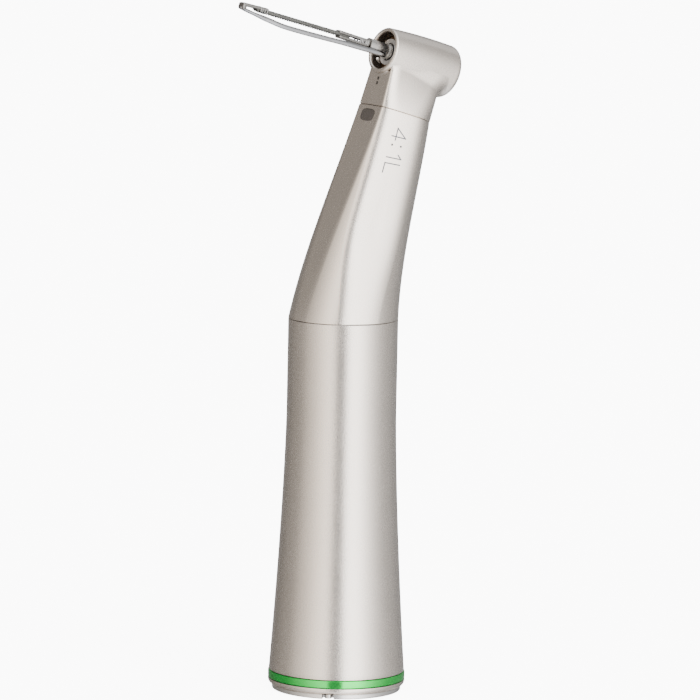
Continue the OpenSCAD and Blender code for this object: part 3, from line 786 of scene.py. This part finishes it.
    def _stroke(self, p: Array, q: Array) -> Array:
        """Lays one straight stroke on the neck's wall as a thin bar.

        Args:
            p: One end: how far down the neck and how far up the letter.
            q: The other end.

        Returns:
            Rows by columns of points.
        """
        ends = np.array([p, q], float)
        way = ends[1] - ends[0]
        length = max(float(np.linalg.norm(way)), 1e-6)
        way /= length
        across = np.array([-way[1], way[0]])
        f = np.linspace(-self.mark_line / 2, length + self.mark_line / 2, 14)[:, None]
        half = self.mark_line / 2
        corners = []
        for offset, lift in ((-half, -0.05), (half, -0.05), (half, 0.014), (-half, 0.014)):
            flat = ends[0] + way * f + across * offset
            along = self.mark_t - flat[:, 0]
            u = (along + 4.3) / (PLAN.neck_len + 4.3)
            turn = np.radians(-self.mark_angle) + (flat[:, 1] - self.mark_h / 2) / 5.6
            u0 = np.clip(u, 0, 1)
            here = self.surface(u0, turn, 0.0, 0.0)
            inside = self.surface(u0, turn, 0.1, 0.1)
            n = here - inside
            n /= np.linalg.norm(n, axis=1, keepdims=True)
            corners.append(here + n * lift)
        return np.stack(corners, axis=1)

    def build(self) -> None:
        """Builds every piece of the neck."""
        self.sleeve()
        self.window()
        self.mark()


@dataclass
class Head:
    """The head: a flared barrel on a stub that narrows from the neck."""

    rear_round: float = 0.8
    front_round: float = 0.3
    stub_top: float = 33.3
    slot_rise: tuple[float, float] = (3.3, 4.0)
    slot_w: float = 0.42
    slot_h: float = 0.46

    def barrel_radius(self, s: Array) -> Array:
        """Radius of the barrel: widest behind, with a slight bulge to the front."""
        low, high = -PLAN.head_back + self.rear_round, PLAN.head_front
        f = np.clip((s - low) / (high - low), 0.0, 1.0)
        return PLAN.head_rear_r - (PLAN.head_rear_r - PLAN.head_front_r) * f * f

    def barrel(self, shell: Shell) -> None:
        """Adds the barrel with its bore, turned about the head's axis."""
        a = np.linspace(0.0, np.pi / 2, 14)
        s = np.linspace(-PLAN.head_back + self.rear_round, PLAN.head_front - self.front_round, 60)
        rear_r = PLAN.head_rear_r
        rear = np.stack(
            [
                rear_r - self.rear_round * (1 - np.sin(a)),
                -PLAN.head_back + self.rear_round * (1 - np.cos(a)),
            ],
            1,
        )
        front_r = float(self.barrel_radius(np.array([s[-1]]))[0])
        front = np.stack(
            [
                front_r - self.front_round * (1 - np.cos(a)),
                PLAN.head_front - self.front_round * (1 - np.sin(a)),
            ],
            1,
        )
        outline = np.vstack(
            [
                [[2.62, -6.2], [2.62, -PLAN.head_back + 0.02]],
                rear,
                np.stack([self.barrel_radius(s), s], 1)[1:],
                front[1:],
                [[PLAN.bore_r + 0.1, PLAN.head_front], [PLAN.bore_r, PLAN.head_front - 0.1]],
                [[PLAN.bore_r, -6.2]],
            ]
        )
        shell.add(lathe(outline, on_head, 192))

    def distance(self, t: Array, out: Array, side: Array) -> Array:
        """How far a point stands outside the head, roughly.

        The stub is the neck's round section, cut by the flat face and by two
        leaning sides; the barrel is a turned solid. The two are joined with a
        fillet that is small at the front and grows to the back.
        """
        narrow = np.clip((t - PLAN.neck_len) / (self.stub_top - PLAN.neck_len), 0.0, 1.0)
        start = PLAN.neck_r * (1 - PLAN.side_cut)
        half = start + (PLAN.stub_half - start) * narrow
        tilt = np.radians(PLAN.side_turn + (PLAN.side_top_turn - PLAN.side_turn) * narrow)
        flank = out * np.cos(tilt) + np.abs(side) * np.sin(tilt) - half
        stub = smooth_max(np.hypot(out, side) - PLAN.neck_r, flank, 0.8 + 0.3 * narrow)
        stub = smooth_max(stub, out - PLAN.facet_out, 0.16)
        below = np.hypot(PLAN.head_t - t, side)
        barrel = below - self.barrel_radius(out)
        barrel = smooth_max(barrel, -PLAN.head_back - out, 1.2)
        barrel = np.maximum(barrel, out - PLAN.head_front) + 0.012
        fillet = 0.25 + 1.1 * smooth_step(-out, -2.0, 5.0)
        return smooth_min(stub, barrel, fillet)

    def stub(self, shell: Shell) -> None:
        """Adds the stub: at each height the radius is found where distance is nil.

        Halving the span 24 times finds the radius to a hair for all points at
        once. The stub stops inside the barrel's wall, below the bore.
        """
        turn = np.linspace(0.0, 2 * np.pi, 300, endpoint=False)[None]
        front = np.degrees(np.abs(np.arctan2(np.sin(turn), -np.cos(turn))))
        back = 180.0 - front
        side = np.minimum(smooth_step(front, 27.0, 34.0), smooth_step(back, 24.0, 32.0))
        top = 32.3 + 1.9 * side
        f = np.concatenate([[0.0, 0.012], np.linspace(0.03, 1.0, 170)])[:, None]
        t = PLAN.neck_len + (top - PLAN.neck_len) * f
        low, high = np.full(t.shape, 0.4), np.full(t.shape, 9.0)
        for _ in range(24):
            mid = (low + high) / 2
            outside = self.distance(t, -mid * np.cos(turn), mid * np.sin(turn)) > 0
            low, high = np.where(outside, low, mid), np.where(outside, mid, high)
        r = low
        r[0] -= 0.11
        outer = PLAN.neck(t, -r * np.cos(turn), r * np.sin(turn))
        r_in = r[::-12] - 0.35
        r_in = np.minimum(r_in, 4.0 + 0.0 * r_in) * 1.0
        keep = t[::-12]
        inner = PLAN.neck(keep, -r_in * np.cos(turn), r_in * np.sin(turn))
        shell.add(np.vstack([outer, inner]))

    def slots(self) -> None:
        """Builds the two spray slots as narrow dark boxes set in the flat: painted shade for the slots' insides."""
        shell = Shell("spray_slot_shade")
        for rise in self.slot_rise:
            rows = []
            for out in (PLAN.facet_out - 0.3, PLAN.facet_out + 0.004):
                w = np.array([-1, 1, 1, -1]) * self.slot_w / 2
                h = np.array([-1, -1, 1, 1]) * self.slot_h / 2
                rows.append(PLAN.neck(PLAN.neck_len + rise + h, out, w))
            shell.add(np.stack(rows), Wrap.ROUND)
        place_piece(shell.build(), SHADOW, "casing", "satin_casing")

    def seam(self) -> None:
        """Builds the dark line that shows between the neck and the head."""
        shell = Shell("head_seam_shadow")
        turn = np.linspace(0.0, 2 * np.pi, 240, endpoint=False)
        rows = []
        for r, flat, t in ((4.0, 3.7, -0.2), (4.5, 4.36, -0.2), (4.5, 4.36, 0.15), (4.0, 3.7, 0.15)):
            out = np.minimum(-r * np.cos(turn), flat)
            rows.append(PLAN.neck(PLAN.neck_len + t, out, r * np.sin(turn)))
        place_piece(shell.add(np.stack(rows)).build(), SHADOW, "casing", "satin_casing")

    def lining(self) -> None:
        """Builds a thin dark lining of the bore before the front bush: painted shade inside the bore."""
        r = PLAN.bore_r
        outline = np.array([[r - 0.012, 2.9], [r - 0.012, 4.75], [r + 0.03, 4.75], [r + 0.03, 2.9]])
        obj = Shell("bore_shade_lining").add(lathe(outline, on_head, 128)).build()
        place_piece(obj, CAVITY, "casing", "satin_casing")

    def build(self) -> None:
        """Builds every piece of the head."""
        shell = Shell("head_housing_skin")
        self.barrel(shell)
        self.stub(shell)
        place_piece(shell.build(38), CASING, "casing", "satin_casing", "head_housing")
        self.slots()
        self.seam()
        self.lining()


@dataclass
class StripInsert:
    """The strip between two folded clamps, held by a bowed wire."""

    face_out: float = 4.0
    bow_r: float = 0.375
    strip_w: float = 1.1
    strip_t: float = 0.56
    clamp_w: float = 1.4
    near: tuple[float, float] = (3.9, 9.7)
    far: tuple[float, float] = (22.6, 27.1)
    near_drop: float = -0.3
    far_drop: float = 0.24
    jaw: float = 0.52
    sag: float = 0.12
    droop: float = 0.022

    def point(self, s: Any, drop: Any = 0.0, side: Any = 0.0) -> Array:
        """A point s before the plunger's face, drop below and side to -Y."""
        s = np.asarray(s, float)
        sag = self.sag * smooth_step(s, 0.0, 6.0) + self.droop * s
        below = np.asarray(drop, float) + sag
        return PLAN.neck(PLAN.head_t - below, self.face_out + s, -np.asarray(side, float))

    def bow(self) -> None:
        """Carries the wire from beside the shank to under the far clamp."""
        knots = [
            (1.44, 0.72, 1.15),
            (3.5, 0.7, 1.15),
            (5.5, 0.73, 1.14),
            (9.0, 0.83, 1.0),
            (13.3, 1.04, 0.8),
            (18.9, 1.22, 0.5),
            (21.8, 1.02, 0.28),
            (23.8, 0.84, 0.12),
            (25.6, 0.66, 0.0),
            (26.8, 0.5, 0.0),
        ]
        curve = spline(knots, 16)
        path, radius = round_ends(self.point(curve[:, 0], curve[:, 1], curve[:, 2]), self.bow_r)
        s = np.interp(np.linspace(0, 1, len(path)), np.linspace(0, 1, len(curve)), curve[:, 0])
        flatten = smooth_step(s, 22.0, 24.5)
        wide = 1.0 + 0.75 * flatten
        obj = Shell("bow_wire").add(tube(path, radius * (1 - 0.3 * flatten), 28, wide), Wrap.ROUND).build(60)
        place_piece(obj, DRAWN, "insert", "insert_steel", "bow_rod")

    def strip(self) -> None:
        """Lays the ribbed, grit-coated strip between the clamps.

        Its thickness rises and falls along a slanting wave, which gives the
        braided look of a perforated strip.
        """
        s = np.linspace(self.near[1] - 2.0, self.far[0] + 2.0, 760)
        drop = np.interp(s, [self.near[1], self.far[0]], [self.near_drop, 0.0])
        v = np.array([-1, -0.94, -0.7, -0.35, 0, 0.35, 0.7, 0.94, 1, 0.94, 0.7, 0.35, 0, -0.35, -0.7, -0.94])
        top = np.array([0] + [1] * 7 + [0] + [-1] * 7)
        edge = np.sqrt(np.clip(1 - np.abs(v) ** 6, 0, 1))
        wave = 1 + 0.34 * np.sin(2 * np.pi * (s[:, None] / 0.42 + 0.55 * v[None] * top[None]))
        thick = self.strip_t / 2 * edge[None] * top[None] * wave
        grid = self.point(s[:, None], drop[:, None] - thick, v[None] * self.strip_w / 2 + 0 * s[:, None])
        obj = Shell("grit_strip").add(grid, Wrap.ROUND).build(70)
        place_piece(obj, GRIT, "insert", "strip_grit", "abrasive_strip")

    def jaw_bar(self, shell: Shell, ends: tuple[float, float], drops: tuple[float, float], thick: float) -> None:
        """Adds one flat jaw with round edges and ends.

        Args:
            shell: The piece to add to.
            ends: Where it starts and stops before the plunger's face.
            drops: How far its middle lies below the axis at each end.
            thick: Its thickness.
        """
        f = (1 - np.cos(np.linspace(0, np.pi, 40))) / 2
        s = ends[0] + (ends[1] - ends[0]) * f
        drop = drops[0] + (drops[1] - drops[0]) * f
        reach = np.minimum(f * (ends[1] - ends[0]), (1 - f) * (ends[1] - ends[0]))
        full = np.sqrt(np.clip(1 - (1 - np.clip(reach / 0.25, 0, 1)) ** 2, 0.0004, 1))
        a = np.linspace(0, 2 * np.pi, 40, endpoint=False)
        c, q = np.cos(a), np.sin(a)
        w = np.sign(c) * np.abs(c) ** 0.45 * self.clamp_w / 2
        h = np.sign(q) * np.abs(q) ** 0.6 * thick / 2
        grid = self.point(s[:, None] + 0 * w, drop[:, None] + full[:, None] * h, w * (0.75 + 0.25 * full[:, None]))
        shell.add(grid, Wrap.ROUND)

    def crimps(self, name: str, starts: Sequence[float], drop: float, high: float) -> None:
        """Winds short wire crimps over a clamp's end.

        Args:
            name: The piece's name.
            starts: Where each turn lies before the plunger's face.
            drop: How far their middle lies below the axis.
            high: Half height of a turn.
        """
        shell = Shell(name)
        a = np.linspace(0, 2 * np.pi, 48, endpoint=False)
        c, q = np.cos(a), np.sin(a)
        b = np.linspace(0, 2 * np.pi, 12, endpoint=False)
        for i, s in enumerate(starts):
            grow = 0.11 * (1 + 0.25 * math.sin(5.1 * i))
            w = np.sign(c) * np.abs(c) ** 0.6 * (self.clamp_w / 2 - 0.05)
            h = np.sign(q) * np.abs(q) ** 0.6 * high
            lean = 0.12 * np.sin(a + i)
            sec = grow * np.cos(b)[None]
            scale = 1 + sec / 0.6
            grid = self.point(
                s + lean[:, None] + grow * np.sin(b)[None],
                drop + h[:, None] * scale,
                w[:, None] * (1 + sec / 0.8),
            )
            shell.add(grid)
        place_piece(shell.build(60), CRIMP, "insert", "insert_steel")

    def clamps(self) -> None:
        """Builds both clamps, each of two jaws over the strip's end."""
        gap = self.jaw / 2 + 0.07
        near = Shell("near_clamp_jaws")
        self.jaw_bar(near, self.near, (self.near_drop - gap, self.near_drop - gap), self.jaw)
        self.jaw_bar(near, (self.near[0] + 0.1, self.near[1] - 0.2), (self.near_drop + gap, self.near_drop + gap), self.jaw)
        self.jaw_bar(near, (self.near[0], self.near[0] + 0.9), (self.near_drop, self.near_drop), 0.9)
        place_piece(near.build(50), INSERT, "insert", "insert_steel", "near_clamp")
        far = Shell("far_clamp_jaws")
        self.jaw_bar(far, self.far, (-gap, self.far_drop - gap), self.jaw)
        self.jaw_bar(far, (self.far[1] - 0.7, self.far[1]), (self.far_drop, self.far_drop), 0.95)
        place_piece(far.build(50), INSERT, "insert", "insert_steel", "far_clamp")
        self.crimps("near_crimps", (4.35, 4.7, 5.05, 5.4, 5.8), self.near_drop, 0.42)
        self.crimps("far_crimps", (22.75, 23.1, 23.5, 23.9), -0.08, 0.4)

    def build(self) -> None:
        """Builds every piece of the insert but its shank."""
        self.bow()
        self.strip()
        self.clamps()


# ------------------------------------------------------------------- studio


@dataclass
class Studio:
    """Floor, backdrop light and camera."""

    azimuth: float = -35.4
    elevation: float = 7.7
    roll: float = 1.15
    distance: float = 900.0
    lens: float = 318.8
    aim_z: float = 49.85
    aim_right: float = 1.07

    def axes(self) -> tuple[Vector, Vector, Vector]:
        """The camera's right, up and backward directions, before its roll."""
        a, e = math.radians(self.azimuth), math.radians(self.elevation)
        back = Vector((math.sin(a) * math.cos(e), -math.cos(a) * math.cos(e), math.sin(e)))
        right = Vector((math.cos(a), math.sin(a), 0.0))
        return right, back.cross(right), back

    def camera(self) -> None:
        """Makes the camera at the viewing angle, a long lens from far off."""
        right, up, back = self.axes()
        target = Vector((0.0, 0.0, self.aim_z)) + right * self.aim_right
        data = bpy.data.cameras.new("camera")
        data.lens, data.sensor_width = self.lens, 36.0
        data.clip_start, data.clip_end = 0.05, 20.0
        cam = bpy.data.objects.new("camera", data)
        bpy.context.scene.collection.objects.link(cam)
        rho = math.radians(self.roll)
        x = right * math.cos(rho) + up * math.sin(rho)
        y = up * math.cos(rho) - right * math.sin(rho)
        turn = Matrix((x, y, back)).transposed().to_4x4()
        cam.matrix_world = Matrix.Translation((target + back * self.distance) * MM) @ turn
        bpy.context.scene.camera = cam

    def world(self) -> None:
        """Makes the soft surround: bright all round with a few darker bands.

        The surround is a function of direction alone: two broad bright fields
        beside the camera, a darker band between them, and darker flanks.
        """
        world = bpy.data.worlds.new("studio")
        world.use_nodes = True
        bpy.context.scene.world = world
        tree = world.node_tree
        ground = tree.nodes["Background"]
        ray = make(tree, "ShaderNodeTexCoord", output="Generated")
        facing = math.radians(self.azimuth)
        turned = make(
            tree,
            "ShaderNodeMapping",
            {"vector_type": "POINT"},
            {"Vector": ray, "Rotation": (0.0, 0.0, -facing)},
        )
        x = make(tree, "ShaderNodeSeparateXYZ", None, {0: turned}, output=0)
        y = make(tree, "ShaderNodeSeparateXYZ", None, {0: turned}, output=1)
        angle = make(tree, "ShaderNodeMath", {"operation": "ARCTAN2"}, {0: x, 1: y * -1.0})
        place = angle * (0.5 / math.pi) + 0.5
        stops = [
            (0.0, (0.07, 0.07, 0.07)),
            (0.106, (0.036, 0.034, 0.032)),
            (0.25, (0.08, 0.074, 0.068)),
            (0.344, (0.25, 0.229, 0.207)),
            (0.42, (0.5, 0.462, 0.42)),
            (0.458, (0.52, 0.49, 0.46)),
            (0.466, (0.07, 0.07, 0.072)),
            (0.525, (0.07, 0.07, 0.072)),
            (0.535, (1.0, 0.99, 0.98)),
            (0.6, (0.95, 0.94, 0.93)),
            (0.65, (0.52, 0.51, 0.5)),
            (0.7, (0.26, 0.256, 0.252)),
            (0.76, (0.13, 0.128, 0.126)),
            (0.894, (0.06, 0.06, 0.06)),
            (1.0, (0.07, 0.07, 0.07)),
        ]
        band = make(tree, "ShaderNodeValToRGB", {"stops": stops}, {0: place})
        rise = make(tree, "ShaderNodeSeparateXYZ", None, {0: ray}, output=2)
        crown = ((rise - 0.7) * 3.0).clamped()
        lid = (0.3, 0.31, 0.33, 1.0)
        domed = make(tree, "ShaderNodeMix", {"data_type": "RGBA"}, {0: crown, 6: band, 7: lid}, output=2)
        path = make(tree, "ShaderNodeLightPath", output="Is Camera Ray")
        white = (1.0, 1.0, 1.0, 1.0)
        shown = make(tree, "ShaderNodeMix", {"data_type": "RGBA"}, {0: path, 6: domed, 7: white}, output=2)
        tree.links.new(shown.link, ground.inputs["Color"])
        ground.inputs["Strength"].default_value = 6.5

    def floor(self) -> None:
        """Lays a plain pale floor under the base."""
        span = 3000.0
        grid = np.array([[[-span, -span, -0.02], [span, -span, -0.02]], [[-span, span, -0.02], [span, span, -0.02]]])
        mesh = bpy.data.meshes.new("floor")
        mesh.from_pydata((grid.reshape(-1, 3) * MM).tolist(), [], [(0, 1, 3, 2)])
        obj = bpy.data.objects.new("floor", mesh)
        bpy.context.scene.collection.objects.link(obj)
        mat = bpy.data.materials.new("pale_floor")
        mat.use_nodes = True
        tree = mat.node_tree
        shader = tree.nodes["Principled BSDF"]
        path = make(tree, "ShaderNodeLightPath", output="Is Camera Ray")
        dim, full = (0.0, 0.0, 0.0, 1.0), (1.0, 1.0, 1.0, 1.0)
        glow = make(tree, "ShaderNodeMix", {"data_type": "RGBA"}, {0: path, 6: dim, 7: full}, output=2)
        tree.links.new(glow.link, shader.inputs["Emission Color"])
        tree.links.new((1 - path).link, shader.inputs["Metallic"])
        tree.links.new((path * 0.9).link, shader.inputs["Roughness"])
        shader.inputs["Base Color"].default_value = (0.9, 0.9, 0.9, 1.0)
        shader.inputs["Emission Strength"].default_value = 9.0
        mesh.materials.append(mat)

    def lamps(self) -> None:
        """Hangs a large soft lamp above and a smaller one to the right."""
        right, up, back = self.axes()
        for name, way, size, power in (
            ("key", back * 0.3 + right * 0.35 + up * 0.9, 300.0, 0.2),
            ("rim", right * 0.5 - back * 0.6 + up * 0.8, 300.0, 0.15),
        ):
            data = bpy.data.lights.new(name, "AREA")
            data.size, data.energy = size * MM, power
            lamp = bpy.data.objects.new(name, data)
            bpy.context.scene.collection.objects.link(lamp)
            spot = (Vector((0, 0, 55.0)) + way.normalized() * 600.0) * MM
            lamp.location = spot
            lamp.rotation_mode = "QUATERNION"
            lamp.rotation_quaternion = way.to_track_quat("Z", "Y")

    def build(self) -> None:
        """Sets up camera, surround, floor and lamps."""
        self.camera()
        self.world()
        self.floor()
        self.lamps()


def corners(box: tuple[Vector, Vector]) -> list[list[float]]:
    """Turns a pair of corners into plain lists."""
    return [[float(c) for c in corner] for corner in box]


def main() -> None:
    """Loads the frame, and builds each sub-assembly."""
    logging.basicConfig(level=logging.INFO, format="%(name)s %(message)s")
    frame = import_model()
    for name, obj in frame["nodes"].items():
        node_finish(name).on(obj)
    for part in (Studio(), Grip(), Neck(), Head(), StripInsert()):
        LOG.info("building %s", type(part).__name__)
        part.build()


if __name__ == "__main__":
    main()
